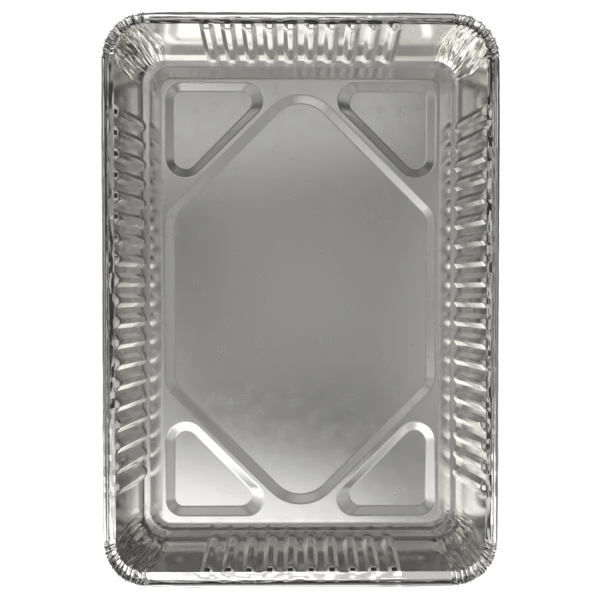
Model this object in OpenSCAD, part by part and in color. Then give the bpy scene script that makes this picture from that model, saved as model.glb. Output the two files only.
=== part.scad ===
// Shallow baking pan pressed from one sheet of aluminium foil.
// Its walls are fluted, its corners gathered, its edge rolled and its floor embossed.
// X runs across the pan, Y along it and Z up. The origin is under the middle of the floor.

/* [Overall size] */
// Length over the rolled edge
rim_length = 311; // [250:1:400]
// Width over the rolled edge
rim_width = 215; // [180:1:300]
// Height from the table to the top of the rolled edge
depth = 31.8; // [22:0.1:60]
// Thickness of the foil
gauge = 0.1; // [0.06:0.01:0.3]

/* [Walls] */
// Lean of the walls away from upright, in degrees
wall_angle = 14.2; // [6:0.1:24]
// Corner radius where the walls meet the floor
floor_corner_radius = 14; // [10:0.5:20]
// Corner radius over the rolled edge
rim_corner_radius = 24; // [20:0.5:34]

/* [Flutes] */
// Distance from one flute to the next
flute_pitch = 11.3; // [9:0.1:18]
// Width of the flat inner face of a flute
flute_crest = 2.7; // [1:0.1:4]
// Width of each sloping side of a flute, seen from above
flute_side = 2.6; // [1:0.1:3]
// How far a flute stands into the pan
flute_depth = 1.6; // [0.5:0.1:2.4]
// Height of the sloping cap between a flute and the shelf
flute_cap = 2.4; // [1:0.1:6]
// Shortest plain stretch of wall between a corner and the first flute
plain_end = 20.5; // [8:0.5:30]

/* [Gathered corners] */
// Number of gathers in each corner
gathers = 12; // [6:1:16]
// Depth of a gather at the top of the wall
gather_top = 0.7; // [0.1:0.05:1]
// Depth of a gather at the foot of the wall
gather_foot = 0.3; // [0.05:0.05:0.6]
// Depth of a crimp in the shelf and the rolled edge
crimp_depth = 0.35; // [0:0.05:0.5]

/* [Rim] */
// Width of the flat shelf outside the walls
shelf_width = 3.3; // [1.5:0.1:6]
// Width of the groove between the shelf and the rolled edge
groove_width = 0.5; // [0.3:0.1:1.5]
// Depth of that groove
groove_depth = 0.4; // [0.1:0.05:0.6]
// Diameter of the rolled edge
bead_diameter = 3.3; // [2.6:0.1:5]
// Rise of the rolled edge above the shelf
bead_rise = 0.8; // [0.4:0.1:1.2]

/* [Floor pattern] */
// Width of the flat ledge along the foot of the walls
ledge_width = 3.9; // [3:0.1:8]
// Height of the raised bars above the ledge and the recesses
bar_height = 2; // [0.5:0.1:4]
// Width of the slope from the ledge up to the border bar
border_slope = 7.4; // [3:0.1:10]
// Flat width on top of the border bar
border_width = 2.2; // [1:0.1:6]
// Flat width on top of the diagonal bars
bar_width = 3.2; // [1:0.1:8]
// Width of the slope from the bars down into the recesses
recess_slope = 4.8; // [2:0.1:7]
// Corner radius of the border's foot
border_corner_radius = 13; // [11:0.5:18]
// Half length of the straight side of the middle recess, at its top edge
middle_side = 51; // [30:1:70]
// Radius of the middle recess's pointed ends
middle_end_radius = 19.3; // [8:0.1:24]
// Radius of the middle recess's side corners
middle_corner_radius = 9; // [3:0.5:14]
// Radius of a corner recess's square corner
recess_corner_radius = 3; // [1:0.5:6]
// Radius of a corner recess's two sharp tips
recess_tip_radius = 6.8; // [3:0.1:8]
// How much further the upper edge of the tip beside a short wall reaches, which widens its slope
recess_tip_reach = 4.2; // [0:0.1:5]

/* [Hidden] */

// Facets of the floor pattern's round corners
floor_facets = 32;
// How many gather steps lie between two points of the ledge's row, and how many flutes
// between two points of the rim's rows
ledge_step = 3;
plain_step = 4;
// Angles of the points round the rolled edge, from the groove to the hidden end
bead_angles = [140, 90, 45, 0, -45, -90, -135, -170];
// How much the gathers differ in depth, and the angles that spread them by step and by corner
gather_spread = 0.2;
gather_turn = [97, 140];
// How far one solid runs past another that it cuts
overlap = 0.5;
// How far a reaching tip stays inside the line of its sides
tip_relief = 0.04;

shelf_top = depth - bead_rise;
wall_height = shelf_top - gauge;
lean = wall_height * tan(wall_angle);
rim_reach = shelf_width + groove_width + bead_diameter;
foot_half = [rim_width / 2, rim_length / 2] - [1, 1] * (lean + rim_reach);
wall_top_radius = rim_corner_radius - rim_reach;
radius_gain = (wall_top_radius - floor_corner_radius) / lean;
flute_width = flute_crest + 2 * flute_side;
ledge_clear = ledge_width - flute_depth;

// The plan outline grows with the distance "out" from the foot of the wall
function half_at(out) = foot_half + [out, out];
function radius_at(out) =
    out < lean ? floor_corner_radius + out * radius_gain : wall_top_radius + out - lean;

// Each wall's flutes, centred on the wall and as many as fit between its plain ends
function half_along(out, side) = half_at(out)[side % 2];
function half_across(out, side) = half_at(out)[(side + 1) % 2];
function flute_count(side) =
    1 + floor((2 * (half_along(0, side) - floor_corner_radius - plain_end) - flute_width) / flute_pitch);

// Every second step round a corner is a gather, each a little deeper or shallower than the next
function gather_size(side, step) =
    step % 2 == 0 ? 0 : 1 - gather_spread + gather_spread * sin(gather_turn[0] * step + gather_turn[1] * side);

// A station is [side, place, flute, gather, kept by the rim, kept by the ledge].
// Its place is a distance along a straight wall, or an angle where gather isn't undef.
function wall_stations(side) = [
    for (i = [0 : flute_count(side) - 1])
        let (middle = (i - (flute_count(side) - 1) / 2) * flute_pitch)
        each [
            [side, middle - flute_width / 2, 0, undef, i % plain_step == 0, true],
            [side, middle - flute_crest / 2, 1, undef, false, false],
            [side, middle + flute_crest / 2, 1, undef, false, false],
            [side, middle + flute_width / 2, 0, undef, false, true]
        ]
];
function corner_stations(side) = [
    for (step = [0 : 2 * gathers])
        [side, 45 * step / gathers - 90, 0, gather_size(side, step), true,
            step % ledge_step == 0 || step == 2 * gathers]
];
stations = [for (side = [0 : 3]) each concat(wall_stations(side), corner_stations(side))];
station_count = len(stations);

// The upper skin's section, outwards from the ledge. Each point is
// [out, height, flute depth, gather depth, crimp depth, which stations it keeps].
bead_radius = bead_diameter / 2;
bead_middle = [lean + rim_reach - bead_radius, depth - bead_radius];
groove_out = lean + shelf_width + groove_width / 2;
cap_foot = wall_height - flute_cap;
section = concat(
    [
        [-ledge_width + ledge_clear / 2, gauge, 0, 0, 0, "ledge"],
        [0, gauge, flute_depth, gather_foot, 0, "wall"],
        [cap_foot * tan(wall_angle), gauge + cap_foot, flute_depth, gather_top, 0, "wall"],
        [lean, shelf_top, 0, gather_top, 0, "wall"],
        [lean + shelf_width, shelf_top, 0, 0, crimp_depth, "rim"],
        [groove_out, shelf_top - groove_depth, 0, 0, crimp_depth, "rim"]
    ],
    [
        for (angle = bead_angles)
            [
                bead_middle[0] + bead_radius * cos(angle),
                bead_middle[1] + bead_radius * sin(angle),
                0, crimp_depth, crimp_depth * max(0, sin(angle)), "rim"
            ]
    ]
);

// The lower skin lies one gauge below the upper one, square to the section
function side_of(a, b) = let (run = b - a) [run[1], -run[0]] / norm(run);
function flat_point(i) = [section[i][0], section[i][1]];
function skin_shift(i) =
    let (
        last = len(section) - 1,
        before = side_of(flat_point(max(i - 1, 0)), flat_point(max(i, 1))),
        after = side_of(flat_point(min(i, last - 1)), flat_point(min(i + 1, last)))
    )
    gauge * (before + after) / (1 + before * after);
lower_section = [
    for (i = [len(section) - 1 : -1 : 0])
        let (shift = skin_shift(i), row = section[i])
        [row[0] + shift[0], row[1] + shift[1], row[2], row[3], row[4], row[5]]
];
rows = concat(section, lower_section);
row_count = len(rows);

function keeps(row, station) =
    row[5] == "wall" ? true : row[5] == "rim" ? station[4] : station[5];

// The point where a station's plane meets a row of the section
function station_point(row, station) =
    let (
        side = station[0],
        radius = radius_at(row[0]),
        along = half_along(row[0], side),
        across = half_across(row[0], side),
        bend = is_undef(station[3]) ? 0 : station[3],
        reach = radius - bend * row[3],
        flat = is_undef(station[3])
            ? [station[1], row[2] * station[2] - across]
            : [along - radius + reach * cos(station[1]), radius - across + reach * sin(station[1])],
        turn = 90 * side
    )
    [
        flat[0] * cos(turn) - flat[1] * sin(turn),
        flat[0] * sin(turn) + flat[1] * cos(turn),
        row[1] - bend * row[4]
    ];

// A row has a point only at the stations that it keeps. Any other station is given
// the point of the last kept one before it.
kept = [for (row = rows) [for (i = [0 : station_count - 1]) if (keeps(row, stations[i])) i]];
function kept_before(row) = [
    for (i = 0, n = 0; i < station_count; n = n + (keeps(row, stations[i]) ? 1 : 0), i = i + 1) n
];
place_in_row = [
    for (row = rows)
        let (before = kept_before(row))
        [for (i = [0 : station_count - 1]) before[i] - (keeps(row, stations[i]) ? 0 : 1)]
];
function points_before(r) = r == 0 ? 0 : points_before(r - 1) + len(kept[r - 1]);
row_start = [for (r = [0 : row_count - 1]) points_before(r)];
function vertex(r, i) =
    row_start[r] + (place_in_row[r][i % station_count] + len(kept[r])) % len(kept[r]);

// The two triangles between one row and the next. Both skins share their diagonals, so that
// the thin sheet never crosses itself where it twists. The lower skin's rows run the other
// way, so it turns its diagonals. The ledge's band turns too, because the foot of a flute
// reaches over the first diagonal there.
function turns(r) = r < len(section) ? r == 0 : r < row_count - 2;
function band(r, a, b, c, d) = [
    if (a != b) turns(r) ? [a, b, d] : [a, b, c],
    if (c != d) turns(r) ? [b, c, d] : [a, c, d]
];

// The sheet before its floor is embossed: the section carried round the pan,
// closed over the floor by one flat face on each skin
module smooth_sheet() {
    points = [
        for (r = [0 : row_count - 1])
            for (i = kept[r])
                station_point(rows[r], stations[i])
    ];
    bands = [
        for (r = [0 : row_count - 2])
            for (i = [0 : station_count - 1])
                each band(r, vertex(r, i), vertex(r, i + 1), vertex(r + 1, i + 1), vertex(r + 1, i))
    ];
    last = row_count - 1;
    upper_floor = [for (k = [len(kept[0]) - 1 : -1 : 0]) row_start[0] + k];
    lower_floor = [for (k = [0 : len(kept[last]) - 1]) row_start[last] + k];
    polyhedron(points, concat(bands, [upper_floor, lower_floor]));
}

// A disc that narrows or widens with height, from the floor pattern's foot,
// and whose middle moves by "drift" up to the bars' height
module cone(radius, growth, from, to, drift = [0, 0]) {
    slant = drift / bar_height;
    multmatrix([[1, 0, slant[0], 0], [0, 1, slant[1], 0], [0, 0, 1, 0], [0, 0, 0, 1]])
        translate([0, 0, from])
            cylinder(
                h = to - from,
                r1 = radius + growth * from / bar_height,
                r2 = radius + growth * to / bar_height,
                $fn = floor_facets
            );
}

// The foot of the border and the lower edge of the recesses
border_half = half_at(-ledge_width);
recess_half = half_at(-ledge_width - border_slope - border_width - recess_slope);
// Each diagonal is the line where x + y has one value, in the quarter where both are positive
middle_diagonal = recess_half[0] + recess_slope + middle_side - recess_slope * sqrt(2);
recess_diagonal = middle_diagonal + (bar_width + 2 * recess_slope) * sqrt(2);

module border_block(from, to) {
    inset = border_half - [1, 1] * border_corner_radius;
    hull()
        for (x = [-1, 1], y = [-1, 1])
            translate([x * inset[0], y * inset[1]])
                cone(border_corner_radius, -border_slope, from, to);
}

module middle_recess(from, to) {
    x_corner = recess_half[0] - middle_corner_radius;
    y_corner = middle_diagonal - middle_corner_radius * sqrt(2) - x_corner;
    y_end = middle_diagonal - middle_end_radius * sqrt(2);
    hull()
        for (y = [-1, 1]) {
            translate([0, y * y_end])
                cone(middle_end_radius, recess_slope, from, to);
            for (x = [-1, 1])
                translate([x * x_corner, y * y_corner])
                    cone(middle_corner_radius, recess_slope, from, to);
        }
}

module corner_recess(from, to) {
    square_corner = recess_half - [1, 1] * recess_corner_radius;
    tip = recess_half - [1, 1] * recess_tip_radius;
    tip_sum = recess_diagonal + recess_tip_radius * sqrt(2);
    // The tip beside a short wall keeps its two sides while it reaches along their bisector
    half_angle = 22.5;
    reach_growth = recess_slope - recess_tip_reach * sin(half_angle) - tip_relief;
    reach_drift = recess_tip_reach * [-cos(half_angle), sin(half_angle)];
    hull() {
        translate(square_corner)
            cone(recess_corner_radius, recess_slope, from, to);
        translate([tip[0], tip_sum - tip[0]])
            cone(recess_tip_radius, recess_slope, from, to);
        translate([tip_sum - tip[1], tip[1]])
            cone(recess_tip_radius, reach_growth, from, to, reach_drift);
    }
}

// The raised bars as a solid block whose recesses go right through it
module bars(from, to) {
    difference() {
        border_block(from, to);
        middle_recess(from - overlap, to + overlap);
        for (x = [0, 1], y = [0, 1])
            mirror([x, 0, 0])
                mirror([0, y, 0])
                    corner_recess(from - overlap, to + overlap);
    }
}

// The whole pan, one sheet: the bars stand on its upper skin and are hollow underneath
module pan() {
    color("silver")
        difference() {
            union() {
                smooth_sheet();
                translate([0, 0, gauge])
                    bars(-gauge / 2, bar_height);
            }
            bars(-overlap, bar_height);
        }
}

pan();
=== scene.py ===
"""A shallow foil roasting pan, seen from straight above on a pale floor in soft studio light."""
import math
from collections import namedtuple

import bpy
import numpy as np
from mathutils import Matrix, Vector, noise


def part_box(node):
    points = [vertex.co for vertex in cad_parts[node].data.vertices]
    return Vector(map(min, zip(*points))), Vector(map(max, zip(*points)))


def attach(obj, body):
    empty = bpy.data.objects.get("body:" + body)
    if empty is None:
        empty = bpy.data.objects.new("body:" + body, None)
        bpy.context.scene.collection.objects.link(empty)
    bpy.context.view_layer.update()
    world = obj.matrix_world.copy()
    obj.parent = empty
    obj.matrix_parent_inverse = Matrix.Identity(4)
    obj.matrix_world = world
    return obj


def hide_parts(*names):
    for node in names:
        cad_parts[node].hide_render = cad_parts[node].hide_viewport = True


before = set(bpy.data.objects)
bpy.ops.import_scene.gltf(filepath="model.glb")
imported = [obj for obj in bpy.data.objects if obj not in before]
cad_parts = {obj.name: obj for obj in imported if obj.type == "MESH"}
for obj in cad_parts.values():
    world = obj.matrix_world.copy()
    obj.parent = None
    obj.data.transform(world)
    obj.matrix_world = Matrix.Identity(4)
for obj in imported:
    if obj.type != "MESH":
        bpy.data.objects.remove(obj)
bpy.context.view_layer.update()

# The overall size, from the frame. All sizes of the pan are in millimetres.
MM = 0.001
_, pan_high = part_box("pan")
RIM_HALF = np.array([pan_high.x, pan_high.y]) / MM
DEPTH = pan_high.z / MM

# The sheet and its walls
GAUGE = 0.1
WALL_ANGLE = math.radians(14.2)
FOOT_RADIUS = 14.0
RIM_RADIUS = 24.0

# The flutes, and the plain stretch between them and each corner
FLUTE_PITCH = 11.3
FLUTE_CREST = 2.7
FLUTE_SIDE = 2.6
FLUTE_DEPTH = 1.6
FLUTE_CAP = 2.4
FLUTE_ROUND = 0.3
PLAIN_END = 20.5

# The shelf, the groove and the rolled edge, called the bead
SHELF_WIDTH = 3.3
SHELF_FALL = 0.42
GROOVE_WIDTH = 0.5
BEAD_RADIUS = 1.65
BEAD_RISE = 0.8

# Dimples in the shelf at the flutes, and the painted shade that darkens them. The sides are in the order
# near, right, far and left.
DIMPLE_DEPTH = 0.45
DIMPLE_SHARES = (0.35, 1.0, 0.5, 0.1)
# How dark the dimples are painted, as painted shade in their hollows
DIMPLE_PAINTED_SHADE = 0.9

# How much flutes and dimples differ, and the pace of that in radians from flute to flute
FLUTE_VARIES, FLUTE_PACE = 0.07, 2.4
DIMPLE_VARIES, DIMPLE_PACE = 0.4, 3.1

# The gathers of a corner: stages are places along their course, up the wall and over the rim
PLEATS = 12
WALL_STAGES = 8
RIM_STAGES = 5
BEAD_STAGE = 1.72
PLEAT_DEPTH = 1.25
PLEAT_SPREAD = 4.0
FOOT_SPREAD = 1.2
CRIMP_DEPTH = 1.1
CRIMP_SPREAD = 1.5

# The floor's pattern of raised bars and sunk fields
LEDGE_WIDTH = 3.9
BAR_HEIGHT = 2.0
BORDER_SLOPE = 7.4
BORDER_WIDTH = 2.2
BORDER_RADIUS = 13.0
BAR_WIDTH = 3.2
RECESS_SLOPE = 4.8
SHOULDER = 0.5
LIP = 0.25
MIDDLE_SIDE = 51.0
MIDDLE_END_RADIUS = 19.3
MIDDLE_CORNER_RADIUS = 9.0
SQUARE_CORNER_RADIUS = 5.0
TIP_RADIUS = 6.8
TIP_REACH = 4.2
POINT_ANGLE = 9

# How this pan is off its own plan: the inside lies further back, and on the near side the shelf
# is wider and the border is fully round. What differs on the near side sets in at a distance from
# the middle and is full after a blend.
INNER_SHIFT = 0.5
NEAR_SHIFT = 1.2
NEAR_SHIFT_FROM, NEAR_SHIFT_BLEND = 122, 24
NEAR_ROUND = 2.7
NEAR_ROUND_FROM, NEAR_ROUND_BLEND = 108, 20

# Small bows and dents: the height and length of a soft wave, and a seed that picks its pattern
Wave = namedtuple("Wave", "height length seed")
WALL_BOW = Wave(0.1, 45, 1)
WALL_DENTS = Wave(0.004, 8, 2)
CORNER_BOW = Wave(0.35, 20, 5)
RIM_BOW = Wave(0.2, 9, 3)
RIM_DENTS = Wave(0.09, 3.5, 4)
CORNER_DENTS = Wave(0.36, 1.5, 6)
SHELF_WAVE = Wave(0.3, 5, 7)
SHELF_WAVE_PACE = 4

# How far one seed's pattern lies from the next
SEED_STEP_X, SEED_STEP_Z = 17.3, 5.1

# Derived sizes. "Out" is a distance from the foot of the wall, square to it.
SHELF_TOP = DEPTH - BEAD_RISE
WALL_HEIGHT = SHELF_TOP - GAUGE
LEAN = WALL_HEIGHT * math.tan(WALL_ANGLE)
RIM_REACH = SHELF_WIDTH + GROOVE_WIDTH + 2 * BEAD_RADIUS
FOOT_HALF = RIM_HALF - LEAN - RIM_REACH
WALL_TOP_RADIUS = RIM_RADIUS - RIM_REACH
FLUTE_WIDTH = FLUTE_CREST + 2 * FLUTE_SIDE
QUARTER = math.pi / 2


def cleared():
    """Deselects everything, so that the next operator acts on its own piece alone."""
    if bpy.context.object and bpy.context.object.mode != "OBJECT":
        bpy.ops.object.mode_set(mode="OBJECT")
    bpy.ops.object.select_all(action="DESELECT")


def limited(share):
    """A share, kept between 0 and 1."""
    return min(max(share, 0), 1)


def ripple(wave, x, y, z=0.0):
    """Height of a smooth wave at a point, as much below 0 as above."""
    along, up = SEED_STEP_X * wave.seed, SEED_STEP_Z * wave.seed
    place = Vector((x / wave.length + along, y / wave.length, z / wave.length + up))
    return wave.height * noise.noise(place)


def dent(wave, x, y, z=0.0):
    """Depth of a smooth dent at a point, never below 0."""
    return wave.height + ripple(wave, x, y, z)


# The wall, shelf and bead, as rows of a section that runs out from the ledge. Rows up the wall
# and up the caps of the flutes are shares of that height, and rows of the bead are angles. The
# plain ends have points at shares of their length.

WALL_ROWS = (0.03, 0.09, 0.16, 0.24, 0.32, 0.4, 0.48, 0.56, 0.64, 0.72, 0.8, 0.88, 0.96)
CAP_ROWS = (0.08, 0.35, 0.65, 0.9)
BEAD_ROWS = (150, 125, 105, 90, 70, 48, 25, 0, -25, -55, -90, -130, -170)
PLAIN_POINTS = (0.95, 0.82, 0.69, 0.56, 0.43, 0.3, 0.18, 0.07)
INWARD = (-1.0, 0.0)
DOWN = (0.0, -1.0)
# A row's last field is the painted shade that darkens its creases.
Row = namedtuple("Row", "out height push flute dimple pleat crimp drop stage seam",
                 defaults=[INWARD, 0, 0, 0, 0, 0, 0, 0])


def section_rows():
    """Rows from the ledge out to the hidden end of the bead.

    "flute" and "dimple" are how much of their full depth those have in the row. "push" is the
    way that a gather moves the sheet, as (out, up), "pleat" and "crimp" are how much of its full
    depth it has on the wall and on the rim, and "drop" is how far a corner's whole row is pushed
    besides. "stage" is the place on the gathers' course: up to 1 on the wall, and from 1 to 2 on
    the rim. The last field is how much painted shade darkens the creases in that row.
    """
    lean = math.tan(WALL_ANGLE)
    rows = [
        Row(-2.4, GAUGE),
        Row(-0.5, GAUGE, flute=1, pleat=0.2),
        Row(-0.2, GAUGE + 0.04, flute=1, pleat=0.3, stage=0.02),
        Row(0.0, GAUGE + 0.22, flute=1, pleat=0.4, stage=0.04),
    ]
    cap_foot = SHELF_TOP - FLUTE_CAP
    for share in WALL_ROWS:
        height = GAUGE + (cap_foot - GAUGE) * share
        rows.append(Row((height - GAUGE) * lean, height, flute=1, pleat=0.45 + 0.55 * share,
                        stage=0.9 * share, seam=0.5))
    for share in CAP_ROWS:
        height = cap_foot + FLUTE_CAP * share
        rows.append(Row((height - GAUGE) * lean, height, flute=1 - share, pleat=1 - 0.4 * share,
                        stage=0.9 + 0.09 * share, seam=0.6))
    end = LEAN + SHELF_WIDTH
    low = SHELF_TOP - SHELF_FALL
    rows += [
        Row(LEAN + 0.1, SHELF_TOP - 0.03, DOWN, flute=0.06, dimple=0.5, crimp=0.5, stage=1.0),
        Row(LEAN + 0.5, SHELF_TOP, DOWN, flute=0.04, dimple=1.0, crimp=0.7, stage=1.1, seam=0.8),
        Row(LEAN + 1.3, SHELF_TOP - 0.3 * SHELF_FALL, DOWN, flute=0.02, dimple=0.6, crimp=0.8,
            stage=1.25, seam=1),
        Row(LEAN + 2.3, SHELF_TOP - 0.65 * SHELF_FALL, DOWN, flute=0.01, dimple=0.2, crimp=0.8,
            stage=1.5, seam=1),
        Row(end - 0.3, low + 0.03, DOWN, crimp=0.7, drop=0.15, stage=1.6, seam=1),
        Row(end, low - 0.1, DOWN, crimp=0.4, drop=0.45, stage=1.65, seam=1),
        Row(end + 0.25, low - 0.25, DOWN, crimp=0.25, drop=0.45, stage=1.7, seam=1),
    ]
    middle_out = LEAN + RIM_REACH - BEAD_RADIUS
    middle_height = DEPTH - BEAD_RADIUS
    for angle in BEAD_ROWS:
        turn = math.radians(angle)
        out, up = math.cos(turn), math.sin(turn)
        rolled = (BEAD_ROWS[0] - angle) / (BEAD_ROWS[0] - BEAD_ROWS[-1])
        seen = angle > -60
        beside_groove = angle > 100
        rows.append(Row(
            middle_out + BEAD_RADIUS * out, middle_height + BEAD_RADIUS * up, (-out, -up),
            crimp=0.75 if seen else 0.3, drop=0.1 if beside_groove else 0,
            stage=BEAD_STAGE + (2 - BEAD_STAGE) * rolled, seam=1 if seen else 0,
        ))
    return rows


def radius_at(out):
    """Corner radius of the plan outline at a distance out from the foot of the wall."""
    if out < LEAN:
        return FOOT_RADIUS + out * (WALL_TOP_RADIUS - FOOT_RADIUS) / LEAN
    return WALL_TOP_RADIUS + out - LEAN


def turned(x, y, side):
    """A point of the near wall's drawing, turned to its place on another side."""
    turn = QUARTER * side
    return x * math.cos(turn) - y * math.sin(turn), x * math.sin(turn) + y * math.cos(turn)


def wall_stations(side, reach):
    """(place along the wall, flute share, flute number) of each station, out to reach."""
    straight = 2 * (FOOT_HALF[side % 2] - FOOT_RADIUS - PLAIN_END)
    count = 1 + int((straight - FLUTE_WIDTH) // FLUTE_PITCH)
    middles = [(i - (count - 1) / 2) * FLUTE_PITCH for i in range(count)]
    crest, foot = FLUTE_CREST / 2, FLUTE_WIDTH / 2
    slip, rise = FLUTE_ROUND, FLUTE_ROUND / FLUTE_SIDE
    half = [(foot + slip, 0.0), (foot - slip, rise), (crest + slip, 1 - rise), (crest - slip, 1.0)]
    last = middles[-1] + foot + slip
    ends = [last + (reach - last) * share for share in PLAIN_POINTS]
    stations = [(-place, 0.0, 0) for place in ends]
    for number, middle in enumerate(middles):
        stations += [(middle - place, share, number) for place, share in half]
        stations += [(middle + place, share, number) for place, share in reversed(half)]
    return stations + [(place, 0.0, 0) for place in reversed(ends)]


class Gathers:
    """The uneven folds of one corner: where each crease runs, and how the pads between them lie.

    Each table has a row for every stage and a column for every crease or pad. Depths are shares
    of the full depth of a gather, and ranges are of what the seed picks from.
    """

    STAGES = WALL_STAGES + RIM_STAGES

    # How far a crease strays from its even place and sways on its way, as shares of a pad
    STRAY, SWAY_STEP, SWAY_LIMIT = 0.22, 0.2, 0.33

    # Depth of the creases on the wall and on the rim, and the share that the outermost keep
    STRENGTHS = (0.35, 0.7, 1.0, 1.4)
    STRENGTH_RANGE = (0.6, 1.1)
    RIM_CREASE_RANGE = (0.7, 1.4)
    OUTERMOST = 0.3

    # The stage at which a crease starts, how many it takes to grow, and how faint it is before
    START_RANGE, GROWTH, FAINT = (-5, 5), 2, 0.1

    # Height and tilt of the pads on the wall and on the rim, and how far a stage strays from them
    WALL_LEVEL_RANGE, RIM_LEVEL_RANGE, LEVEL_STEP = (-0.25, 0.45), (-0.1, 0.35), 0.15
    WALL_TILT, RIM_TILT, TILT_STEP = 0.4, 1.0, 0.3

    # Wrinkles along the middle of the pads, and the knots that the pads make in the bead
    WALL_WRINKLE, RIM_WRINKLE = 0.45, 0.5
    KNOT_RANGE = (0.6, 1.3)

    # Stations across one pad, and the widths of what lies there, as shares of the pad
    ACROSS = (0.0, 0.06, 0.15, 0.27, 0.4, 0.5, 0.6, 0.73, 0.85, 0.94)
    CREASE_WIDTH, CREASE_SHARPNESS = 0.15, 1.4
    WRINKLE_WIDTH, KNOT_WIDTH = 0.2, 0.15
    PAD_BULGE = 0.12

    # Where the knots begin on the rim, and how the gathers set in beside the plain ends
    KNOT_STAGE, KNOT_GROWTH = 1.7, 0.05
    EDGE_DEPTH, EDGE_PACE = 0.05, 10

    def __init__(self, seed):
        pick = np.random.default_rng(seed)
        lines = PLEATS + 1
        every_line = (self.STAGES, lines)
        every_pad = (self.STAGES, PLEATS)
        stage = np.arange(self.STAGES)[:, None]
        wall = stage < WALL_STAGES

        def either_way(reach, shape):
            return pick.uniform(-reach, reach, shape)

        self.place = (np.arange(lines) + either_way(self.STRAY, lines)) / PLEATS
        self.place[[0, -1]] = 0, 1
        sway = np.cumsum(either_way(self.SWAY_STEP, every_line), axis=0)
        sway -= sway[WALL_STAGES]
        self.sway = np.clip(sway, -self.SWAY_LIMIT, self.SWAY_LIMIT) / PLEATS * wall
        self.sway[:, [0, -1]] = 0
        strength = pick.choice(self.STRENGTHS, lines)
        grown = np.clip((stage - pick.uniform(*self.START_RANGE, lines)) / self.GROWTH, self.FAINT, 1)
        folds = strength * grown * pick.uniform(*self.STRENGTH_RANGE, every_line)
        self.crease = np.where(wall, folds, pick.uniform(*self.RIM_CREASE_RANGE, lines))
        self.crease[:, [0, -1]] *= self.OUTERMOST
        self.level = np.where(wall, pick.uniform(*self.WALL_LEVEL_RANGE, every_pad),
                              pick.uniform(*self.RIM_LEVEL_RANGE, PLEATS))
        self.tilt = np.where(wall, either_way(self.WALL_TILT, every_pad), either_way(self.RIM_TILT, PLEATS))
        self.level += either_way(self.LEVEL_STEP, every_pad)
        self.tilt += either_way(self.TILT_STEP, every_pad)
        self.knot = pick.uniform(*self.KNOT_RANGE, PLEATS)
        self.wrinkle = np.where(wall, either_way(self.WALL_WRINKLE, every_pad),
                                either_way(self.RIM_WRINKLE, every_pad))

    def at(self, stage):
        """(share of the corner, depth share, fade, painted shade of the creases and knots) of every station
        at one stage.
        """
        place = stage * WALL_STAGES if stage < 1 else WALL_STAGES + (stage - 1) * (RIM_STAGES - 1)
        low = min(int(place), self.STAGES - 2)
        mix = place - low
        crease, level, tilt, sway, wrinkle = (
            table[low] * (1 - mix) + table[low + 1] * mix
            for table in (self.crease, self.level, self.tilt, self.sway, self.wrinkle)
        )
        lines = self.place + sway
        knots = self.knot * limited((stage - self.KNOT_STAGE) / self.KNOT_GROWTH)
        stations = []
        for i in range(PLEATS):
            for across in self.ACROSS:
                share = lines[i] + (lines[i + 1] - lines[i]) * across
                fade = min(1, self.EDGE_PACE * min(share, 1 - share) + self.EDGE_DEPTH)
                off_middle = abs(across - 0.5)
                from_near, from_far = across / self.CREASE_WIDTH, (1 - across) / self.CREASE_WIDTH
                near = crease[i] * max(0, 1 - from_near) ** self.CREASE_SHARPNESS
                far = crease[i + 1] * max(0, 1 - from_far) ** self.CREASE_SHARPNESS
                pad = level[i] + tilt[i] * (2 * across - 1) - self.PAD_BULGE * math.sin(math.pi * across)
                pad += wrinkle[i] * max(0, 1 - off_middle / self.WRINKLE_WIDTH)
                knot = knots[i] * max(0, 1 - off_middle / self.KNOT_WIDTH)
                depth = near + far + pad * min(1, from_near, from_far) + knot
                stations.append((share, depth * fade, fade, max(near, far, knot) * fade))
        return stations + [(1.0, 0.0, 0.0, 0.0)]


corner_gathers = [Gathers(seed) for seed in (31, 12, 23, 44)]


def row_points(row):
    """All the points of one section row, once round the pan."""
    up_wall = limited((row.height - GAUGE) / WALL_HEIGHT)
    on_wall = row.out < LEAN
    spread = FOOT_SPREAD + PLEAT_SPREAD * math.sin(math.pi * up_wall) if on_wall else CRIMP_SPREAD
    radius = radius_at(row.out)
    half = FOOT_HALF + row.out
    depth = row.pleat * PLEAT_DEPTH + row.crimp * CRIMP_DEPTH
    points = []
    for side in range(4):
        along, across = half[side % 2], half[(side + 1) % 2]
        middle = (along - radius, radius - across)
        for place, flute_share, number in wall_stations(side, middle[0] - spread):
            varied = 1 + FLUTE_VARIES * math.sin(FLUTE_PACE * number + side)
            y = FLUTE_DEPTH * row.flute * flute_share * varied - across
            dimple = DIMPLE_DEPTH * DIMPLE_SHARES[side] * row.dimple * flute_share
            dimple *= 1 + DIMPLE_VARIES * math.sin(DIMPLE_PACE * number + 2 * side)
            points.append((*turned(place, y, side), row.height - dimple))
        arc = radius * QUARTER
        for share_round, amount, fade, _ in corner_gathers[side].at(row.stage):
            push = depth * amount + row.drop * fade
            if not on_wall:
                push = max(push, 0)
            walked = share_round * (arc + 2 * spread) - spread
            turn = min(max(walked / radius, 0), QUARTER) - QUARTER
            along_x, along_y = min(walked, 0), max(walked - arc, 0)
            moved = radius + push * row.push[0]
            x = middle[0] + along_x + moved * math.cos(turn)
            y = middle[1] + along_y + moved * math.sin(turn)
            points.append((*turned(x, y, side), row.height + push * row.push[1]))
    return points


def row_painted_shades(row):
    """How much painted shade darkens the folds and dimples at each point of one section row, and where the
    gathers are.
    """
    painted_shades = []
    gathered = []
    for side in range(4):
        dimple_shade = DIMPLE_PAINTED_SHADE * DIMPLE_SHARES[side] * row.dimple
        stations = wall_stations(side, FOOT_HALF[side % 2])
        painted_shades += [dimple_shade * flute_share for _, flute_share, _ in stations]
        gathered += [0.0] * len(stations)
        folds = corner_gathers[side].at(row.stage)
        painted_shades += [seam * row.seam for _, _, _, seam in folds]
        gathered += [fade for _, _, fade, _ in folds]
    return painted_shades, gathered


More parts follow.
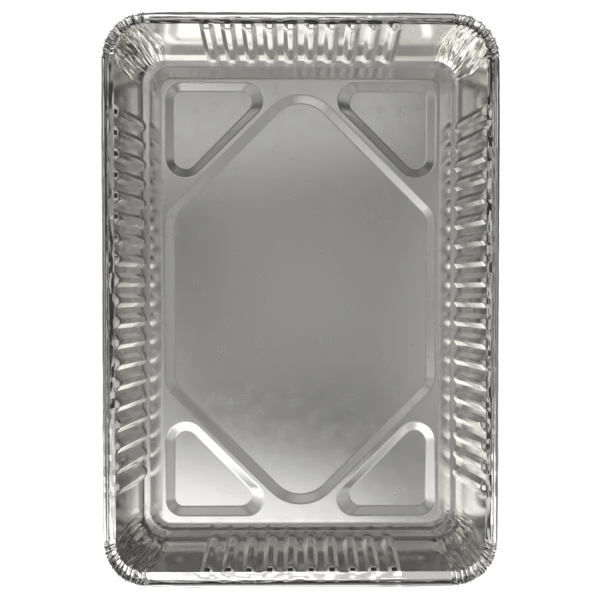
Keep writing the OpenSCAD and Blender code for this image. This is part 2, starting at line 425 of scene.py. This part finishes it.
def cornered(x, y):
    """How near a point is to a corner: 0 along the flutes and 1 in the corner itself."""
    near_x = (abs(x) - FOOT_HALF[0] + FOOT_RADIUS + PLAIN_END) / PLAIN_END
    near_y = (abs(y) - FOOT_HALF[1] + FOOT_RADIUS + PLAIN_END) / PLAIN_END
    return limited(near_x) * limited(near_y)


def nearness(y, first, blend):
    """How far a change of the near side has set in: 0 up to the first place, 1 past the blend."""
    return limited((-y - first) / blend)


def unevenness(points, row):
    """Small dents and bows that a pan of such thin foil has everywhere."""
    up_wall = limited((row.height - GAUGE) / WALL_HEIGHT)
    on_rim = row.out > LEAN
    inner, near_extra = INNER_SHIFT, NEAR_SHIFT * up_wall
    if on_rim:
        left = max(0, 1 - (row.out - LEAN) / SHELF_WIDTH)
        inner, near_extra = inner * left, near_extra * left
    moved = []
    for x, y, z in points:
        length = math.hypot(x, y)
        if on_rim:
            bow = dent(RIM_BOW, x, y) + dent(RIM_DENTS, x, y) + cornered(x, y) * dent(CORNER_DENTS, x, y, z)
            if row.push == DOWN:
                bow += dent(SHELF_WAVE, x, y, SHELF_WAVE_PACE * row.out)
            in_x, in_y = row.push[0] * bow * x / length, row.push[0] * bow * y / length
            x, y, z = x + in_x, y + in_y, z + row.push[1] * bow
        else:
            bow = ripple(WALL_BOW, x, y, z) + ripple(WALL_DENTS, x, y, z)
            bow = up_wall * (bow + cornered(x, y) * ripple(CORNER_BOW, x, y, z))
            x, y = x - bow * x / length, y - bow * y / length
        near = nearness(y, NEAR_SHIFT_FROM, NEAR_SHIFT_BLEND)
        y += inner + near_extra * near * near * (3 - 2 * near)
        moved.append((x, y, z))
    return moved


def wrapped_strip(name, rows, masks):
    """A grid of rows, wrapped round the pan and closed where its two ends meet."""
    cleared()
    count = len(rows[0])
    bpy.ops.mesh.primitive_grid_add(x_subdivisions=count, y_subdivisions=len(rows) - 1, size=1)
    strip = bpy.context.object
    strip.name = name
    places = np.array([list(row) + [row[0]] for row in rows]).reshape(-1, 3) * MM
    strip.data.vertices.foreach_set("co", places.ravel())
    # The first mask is painted shade for the folds and dimples, the second marks where the gathers are.
    for part, mask_name in enumerate(("seam", "gathered")):
        mask = strip.data.attributes.new(mask_name, "FLOAT", "POINT")
        values = np.array([row[part] + [row[part][0]] for row in masks])
        mask.data.foreach_set("value", values.ravel())
    bpy.ops.object.mode_set(mode="EDIT")
    bpy.ops.mesh.select_all(action="SELECT")
    bpy.ops.mesh.remove_doubles(threshold=1e-7)
    bpy.ops.object.mode_set(mode="OBJECT")
    return strip


# The floor's pattern. A shape's outline is a row of round corners, each (x, y, radius,
# first angle, last angle), joined by straight sides.

border_half = FOOT_HALF - LEDGE_WIDTH
recess_half = border_half - BORDER_SLOPE - BORDER_WIDTH - RECESS_SLOPE
middle_diagonal = recess_half[0] + RECESS_SLOPE + MIDDLE_SIDE - RECESS_SLOPE * math.sqrt(2)
recess_diagonal = middle_diagonal + (BAR_WIDTH + 2 * RECESS_SLOPE) * math.sqrt(2)


def border_corners():
    """The four corners of the border's outer foot."""
    x, y = border_half - BORDER_RADIUS
    signs = [(1, 1), (-1, 1), (-1, -1), (1, -1)]
    return [(sx * x, sy * y, BORDER_RADIUS, QUARTER * i, QUARTER * (i + 1))
            for i, (sx, sy) in enumerate(signs)]


def middle_corners():
    """The six corners of the middle recess, two of them wide round ends."""
    x = recess_half[0] - MIDDLE_CORNER_RADIUS
    y = middle_diagonal - MIDDLE_CORNER_RADIUS * math.sqrt(2) - x
    end = middle_diagonal - MIDDLE_END_RADIUS * math.sqrt(2)
    half = QUARTER / 2
    places = [(x, y, 0, 1), (0, end, 1, 3), (-x, y, 3, 4), (-x, -y, 4, 5), (0, -end, 5, 7), (x, -y, 7, 8)]
    return [(px, py, MIDDLE_CORNER_RADIUS if px else MIDDLE_END_RADIUS, half * first, half * last)
            for px, py, first, last in places]


def recess_corners():
    """The corner recess of the quarter where x and y are positive."""
    square = recess_half - SQUARE_CORNER_RADIUS
    tip = recess_half - TIP_RADIUS
    tip_sum = recess_diagonal + TIP_RADIUS * math.sqrt(2)
    half = QUARTER / 2
    return [
        (*square, SQUARE_CORNER_RADIUS, 0, QUARTER),
        (tip_sum - tip[1], tip[1], TIP_RADIUS, QUARTER, 5 * half),
        (tip[0], tip_sum - tip[0], TIP_RADIUS, 5 * half, 8 * half),
    ]


def outline(corners, growth, mirror=(1, 1)):
    """Points of the outline, grown outwards, with one for about each POINT_ANGLE of a corner."""
    points = []
    for x, y, radius, first, last in corners:
        count = max(3, round(math.degrees(last - first) / POINT_ANGLE))
        for k in range(count + 1):
            turn = first + (last - first) * k / count
            points.append((mirror[0] * (x + (radius + growth) * math.cos(turn)),
                           mirror[1] * (y + (radius + growth) * math.sin(turn))))
    return points if mirror[0] * mirror[1] > 0 else points[::-1]


def stretch_tip(recess, mirror):
    """Draws the upper edge of the tip beside a short wall further out, along its bisector."""
    middle_x, middle_y = recess_corners()[1][:2]
    half = QUARTER / 4
    slack = 0.01
    farthest = 15
    for vertex in recess.data.vertices:
        x = vertex.co.x / MM * mirror[0] - middle_x
        y = vertex.co.y / MM * mirror[1] - middle_y
        turn = math.atan2(y, x) % math.tau
        round_tip = QUARTER - slack < turn < 2.5 * QUARTER + slack
        if not round_tip or math.hypot(x, y) > farthest:
            continue
        reach = TIP_REACH * (vertex.co.z / MM - GAUGE) / BAR_HEIGHT
        move_x = reach * (-math.cos(half) - math.sin(half) * math.cos(turn))
        move_y = reach * (math.sin(half) - math.sin(half) * math.sin(turn))
        vertex.co.x += move_x * mirror[0] * MM
        vertex.co.y += move_y * mirror[1] * MM


def slope_steps(width, rise, parts=1):
    """(inset, lift) of each step down or up a slope with rounded shoulders and flat lips."""
    fall = rise / width
    places = [-SHOULDER - LIP]
    places += [SHOULDER * share for share in (-1, -0.33, 0.33)]
    places += [SHOULDER + (width - 2 * SHOULDER) * k / parts for k in range(parts + 1)]
    places += [width + SHOULDER * share for share in (-0.33, 0.33, 1)]
    places.append(width + SHOULDER + LIP)

    def height(place):
        if place < SHOULDER:
            return fall * max(0, place + SHOULDER) ** 2 / (4 * SHOULDER)
        if place < width - SHOULDER:
            return fall * place
        return rise - fall * max(0, width + SHOULDER - place) ** 2 / (4 * SHOULDER)

    return [(b - a, height(b) - height(a)) for a, b in zip(places[:-1], places[1:])]


def round_near_side(border):
    """Makes the border's slope fully round beside the near wall."""
    for vertex in border.data.vertices:
        share = (vertex.co.z / MM - GAUGE) / BAR_HEIGHT
        full = 1 - max(0, 1 - share) ** NEAR_ROUND
        near = nearness(vertex.co.y / MM, NEAR_ROUND_FROM, NEAR_ROUND_BLEND)
        vertex.co.z += (full - share) * near * BAR_HEIGHT * MM


def pressed_shape(name, points, height, steps):
    """A flat shape on its outline, with its slope pressed in by one inset after another."""
    cleared()
    bpy.ops.mesh.primitive_circle_add(vertices=len(points), fill_type="NGON")
    shape = bpy.context.object
    shape.name = name
    for vertex, (x, y) in zip(shape.data.vertices, points):
        vertex.co = (x * MM, y * MM, height * MM)
    bpy.ops.object.mode_set(mode="EDIT")
    bpy.ops.mesh.select_mode(type="FACE")
    bpy.ops.mesh.select_all(action="SELECT")
    for inset, lift in steps:
        bpy.ops.mesh.inset(thickness=inset * MM, depth=lift * MM)
    return shape


def floor_shapes():
    """The border with its open middle, the middle recess and the four corner recesses."""
    low, high = GAUGE, GAUGE + BAR_HEIGHT
    edge = SHOULDER + LIP
    border = pressed_shape("border", outline(border_corners(), edge), low,
                           slope_steps(BORDER_SLOPE, BAR_HEIGHT, parts=8))
    bpy.ops.mesh.delete(type="ONLY_FACE")
    bpy.ops.object.mode_set(mode="OBJECT")
    round_near_side(border)
    shapes = [border]
    down = slope_steps(RECESS_SLOPE, -BAR_HEIGHT)
    places = [("middle_recess", middle_corners(), (1, 1))]
    places += [("corner_recess", recess_corners(), (x, y)) for x in (1, -1) for y in (1, -1)]
    for name, corners, mirror in places:
        points = outline(corners, RECESS_SLOPE + edge, mirror)
        shapes.append(pressed_shape(name, points, high, down))
        bpy.ops.object.mode_set(mode="OBJECT")
        if name == "corner_recess":
            stretch_tip(shapes[-1], mirror)
    return shapes


def fill_level(piece, level):
    """Fills the flat space between the open edges that lie at one level."""
    slack = 0.02
    bpy.ops.object.mode_set(mode="EDIT")
    bpy.ops.mesh.select_mode(type="EDGE")
    bpy.ops.mesh.select_all(action="DESELECT")
    bpy.ops.mesh.select_non_manifold(extend=False, use_wire=False, use_boundary=True,
                                     use_multi_face=False, use_non_contiguous=False, use_verts=False)
    bpy.ops.object.mode_set(mode="OBJECT")
    mesh = piece.data
    for edge in mesh.edges:
        if edge.select:
            edge.select = all(abs(mesh.vertices[v].co.z / MM - level) < slack for v in edge.vertices)
    bpy.ops.object.mode_set(mode="EDIT")
    bpy.ops.mesh.fill(use_beauty=False)
    bpy.ops.object.mode_set(mode="OBJECT")


# Edges sharper than this stay sharp, and large faces lead the shading, where 50 is even
SHARP_EDGE = math.radians(50)
LARGE_FACES_LEAD = 80


def foil_pan():
    """The whole pan as one pressed sheet."""
    rows = section_rows()
    pan = wrapped_strip("foil_pan", [unevenness(row_points(row), row) for row in rows],
                        [row_painted_shades(row) for row in rows])
    shapes = floor_shapes()
    cleared()
    for shape in shapes:
        shape.select_set(True)
    bpy.ops.transform.translate(value=(0, INNER_SHIFT * MM, 0))
    pan.select_set(True)
    bpy.context.view_layer.objects.active = pan
    bpy.ops.object.join()
    fill_level(pan, GAUGE)
    fill_level(pan, GAUGE + BAR_HEIGHT)
    bpy.ops.object.mode_set(mode="EDIT")
    bpy.ops.mesh.select_all(action="SELECT")
    bpy.ops.mesh.normals_make_consistent(inside=False)
    bpy.ops.object.mode_set(mode="OBJECT")
    floor_face = min(pan.data.polygons, key=lambda face: face.center.length)
    if floor_face.normal.z < 0:
        bpy.ops.object.mode_set(mode="EDIT")
        bpy.ops.mesh.flip_normals()
        bpy.ops.object.mode_set(mode="OBJECT")
    sheet = pan.modifiers.new("gauge", "SOLIDIFY")
    sheet.thickness = GAUGE * MM
    sheet.offset = -1
    bpy.ops.object.modifier_apply(modifier=sheet.name)
    bpy.ops.object.shade_smooth_by_angle(angle=SHARP_EDGE)
    facets = pan.modifiers.new("facets", "WEIGHTED_NORMAL")
    facets.keep_sharp = True
    facets.weight = LARGE_FACES_LEAD
    bpy.ops.object.modifier_apply(modifier=facets.name)
    return pan


# Materials. The foil is satin up to one height and clear from another, in millimetres.

FOIL_TONE = (0.885, 0.877, 0.845, 1)
WALL_ROUGHNESS = 0.14
FLOOR_ROUGHNESS = 0.26
SATIN_TOP, CLEAR_FROM = 2.4, 4.5

# Painted shade: folds, knots and dimples are painted near black where their shade mask is above a
# threshold, and gathered foil is clearer
FOLD_PAINTED_SHADE = (0.04, 0.04, 0.03, 1)
FOLD_SHADE_FROM = 0.35
GATHERED_CLEARER = 0.09

# Smears are patches of other roughness, and the grain is a fine bump, above all on the floor
SMEAR, SMEAR_SIZE = 0.04, 9
GRAIN_SIZE = 0.8
GRAIN_HEIGHT = 0.02
WALL_GRAIN, FLOOR_GRAIN = 0.1, 0.35

# The colour mix node's sockets are found by number, since its kinds share their names
MIX_SHARE, MIX_FIRST, MIX_SECOND, MIX_COLOUR = 0, 6, 7, 2

# The ground that the pan lies on, in metres, and how it glows for the camera
GROUND_SIZE = 60
GROUND_GAP = 0.0002
GROUND_TONE = (0.92, 0.92, 0.92, 1)
GROUND_ROUGHNESS = 0.9
GROUND_GLOW = 0.9


def new_material(name):
    """A new material, with its nodes and links."""
    material = bpy.data.materials.new(name)
    material.use_nodes = True
    return material, material.node_tree.nodes, material.node_tree.links


def foil_material():
    """Bright rolled foil: satin and finely grained on the floor, clearer on the walls and edge, with
    painted shade darkening its folds.
    """
    material, nodes, links = new_material("pressed_foil")
    shader = nodes["Principled BSDF"]
    shader.inputs["Metallic"].default_value = 1
    place = nodes.new("ShaderNodeTexCoord")
    split = nodes.new("ShaderNodeSeparateXYZ")
    links.new(place.outputs["Object"], split.inputs[0])

    def unevenly(size, detail):
        texture = nodes.new("ShaderNodeTexNoise")
        texture.inputs["Scale"].default_value = 1 / (size * MM)
        texture.inputs["Detail"].default_value = detail
        links.new(place.outputs["Object"], texture.inputs["Vector"])
        return texture.outputs["Fac"]

    def attribute(name):
        mask = nodes.new("ShaderNodeAttribute")
        mask.attribute_name = name
        return mask.outputs["Fac"]

    def ranged(value, at_first, at_last, first=0, last=1):
        ramp = nodes.new("ShaderNodeMapRange")
        ramp.inputs["From Min"].default_value = first
        ramp.inputs["From Max"].default_value = last
        ramp.inputs["To Min"].default_value = at_first
        ramp.inputs["To Max"].default_value = at_last
        links.new(value, ramp.inputs["Value"])
        return ramp.outputs["Result"]

    def combined(operation, a, b):
        node = nodes.new("ShaderNodeMath")
        node.operation = operation
        links.new(a, node.inputs[0])
        links.new(b, node.inputs[1])
        return node.outputs[0]

    on_floor = ranged(split.outputs["Z"], 1, 0, first=SATIN_TOP * MM, last=CLEAR_FROM * MM)
    smear = ranged(unevenly(SMEAR_SIZE, 3), -SMEAR, SMEAR)
    clearer = ranged(attribute("gathered"), 0, GATHERED_CLEARER)
    satin = combined("ADD", ranged(on_floor, WALL_ROUGHNESS, FLOOR_ROUGHNESS), smear)
    links.new(combined("SUBTRACT", satin, clearer), shader.inputs["Roughness"])

    # Painted shade: the base colour is mixed towards near black where the shade mask of the folds is high
    fold_shade = attribute("seam")
    tone_and_shade = nodes.new("ShaderNodeMix")
    tone_and_shade.data_type = "RGBA"
    tone_and_shade.inputs[MIX_FIRST].default_value = FOIL_TONE
    tone_and_shade.inputs[MIX_SECOND].default_value = FOLD_PAINTED_SHADE
    links.new(ranged(fold_shade, 0, 1, first=FOLD_SHADE_FROM), tone_and_shade.inputs[MIX_SHARE])
    links.new(tone_and_shade.outputs[MIX_COLOUR], shader.inputs["Base Color"])

    grain = nodes.new("ShaderNodeBump")
    grain.inputs["Distance"].default_value = GRAIN_HEIGHT * MM
    links.new(ranged(on_floor, WALL_GRAIN, FLOOR_GRAIN), grain.inputs["Strength"])
    links.new(unevenly(GRAIN_SIZE, 2), grain.inputs["Height"])
    links.new(grain.outputs["Normal"], shader.inputs["Normal"])
    return material


def plain_floor():
    """A wide pale floor just under the pan, which looks evenly white to the camera alone."""
    cleared()
    bpy.ops.mesh.primitive_plane_add(size=GROUND_SIZE, location=(0, 0, -GROUND_GAP))
    floor = bpy.context.object
    floor.name = "floor"
    material, nodes, links = new_material("pale_floor")
    shader = nodes["Principled BSDF"]
    shader.inputs["Base Color"].default_value = GROUND_TONE
    shader.inputs["Roughness"].default_value = GROUND_ROUGHNESS
    shader.inputs["Emission Color"].default_value = (1, 1, 1, 1)
    seen = nodes.new("ShaderNodeLightPath")
    strength = nodes.new("ShaderNodeMath")
    strength.operation = "MULTIPLY"
    strength.inputs[1].default_value = GROUND_GLOW
    links.new(seen.outputs["Is Camera Ray"], strength.inputs[0])
    links.new(strength.outputs[0], shader.inputs["Emission Strength"])
    floor.data.materials.append(material)


# Light. Panels stand round the pan, which mirrors them. Each has a name, an azimuth and a tilt
# in degrees, a width and a height in metres, and a radiance.

PANEL_DISTANCE = 1.0
ROOM_LIGHT = 0.035


def soft_panel(name, azimuth, tilt, size, radiance):
    """A large soft panel that faces the pan, at an azimuth and a tilt away from overhead."""
    azimuth, tilt = math.radians(azimuth), math.radians(tilt)
    way = Vector((math.sin(tilt) * math.cos(azimuth), math.sin(tilt) * math.sin(azimuth), math.cos(tilt)))
    light = bpy.data.lights.new(name, "AREA")
    light.shape = "RECTANGLE"
    light.size, light.size_y = size
    light.energy = radiance * math.pi * size[0] * size[1]
    panel = bpy.data.objects.new(name, light)
    bpy.context.collection.objects.link(panel)
    panel.location = way * PANEL_DISTANCE
    panel.rotation_euler = (-way).to_track_quat("-Z", "Y").to_euler()
    panel.visible_camera = False


def studio():
    """The room's faint even light, and the panels."""
    world = bpy.data.worlds.new("studio")
    bpy.context.scene.world = world
    world.use_nodes = True
    background = world.node_tree.nodes["Background"]
    background.inputs["Color"].default_value = (1, 1, 1, 1)
    background.inputs["Strength"].default_value = ROOM_LIGHT
    soft_panel("window", 240, 61, (1.45, 0.7), 0.95)
    soft_panel("west_window", 223, 51, (0.57, 0.83), 0.6)
    soft_panel("south_window", 282, 47, (1.08, 0.66), 0.58)
    soft_panel("north_bar", 96, 22, (0.66, 0.2), 0.64)
    soft_panel("west_bar", 191, 23, (0.45, 0.18), 0.5)
    soft_panel("east_bar", 355, 19.5, (0.6, 0.16), 0.48)
    soft_panel("south_bar", 259, 30, (0.5, 0.25), 1.14)
    soft_panel("middle", 0, 0.01, (0.42, 0.42), 0.28)
    soft_panel("east_fill", 2, 34, (0.9, 0.15), 0.6)
    soft_panel("back_fill", 150, 35, (0.43, 0.38), 0.26)
    soft_panel("west_low", 165, 74, (1.97, 0.55), 0.42)
    soft_panel("south_low", 320, 80, (1.95, 0.43), 0.5)
    soft_panel("north_low", 93, 51.5, (1.95, 0.13), 0.3)
    bpy.context.scene.view_settings.view_transform = "Standard"


# The camera, in metres and degrees, for a picture 600 pixels wide

PICTURE = 600
SENSOR = 36
FOCAL_PIXELS = 605
EYE = (-0.0029, 0.0054, 0.3571)
EYE_TILT = (-0.79, -0.42, 0.0)


def camera():
    """The eye above the pan, in the photograph's place."""
    data = bpy.data.cameras.new("camera")
    data.sensor_width = SENSOR
    data.lens = SENSOR * FOCAL_PIXELS / PICTURE
    data.clip_start = 0.01
    data.clip_end = 100
    eye = bpy.data.objects.new("camera", data)
    bpy.context.collection.objects.link(eye)
    eye.location = EYE
    eye.rotation_euler = [math.radians(turn) for turn in EYE_TILT]
    bpy.context.scene.camera = eye


camera()
studio()
plain_floor()
pan = foil_pan()
pan.data.materials.clear()
pan.data.materials.append(foil_material())
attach(pan, "root")
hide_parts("pan")
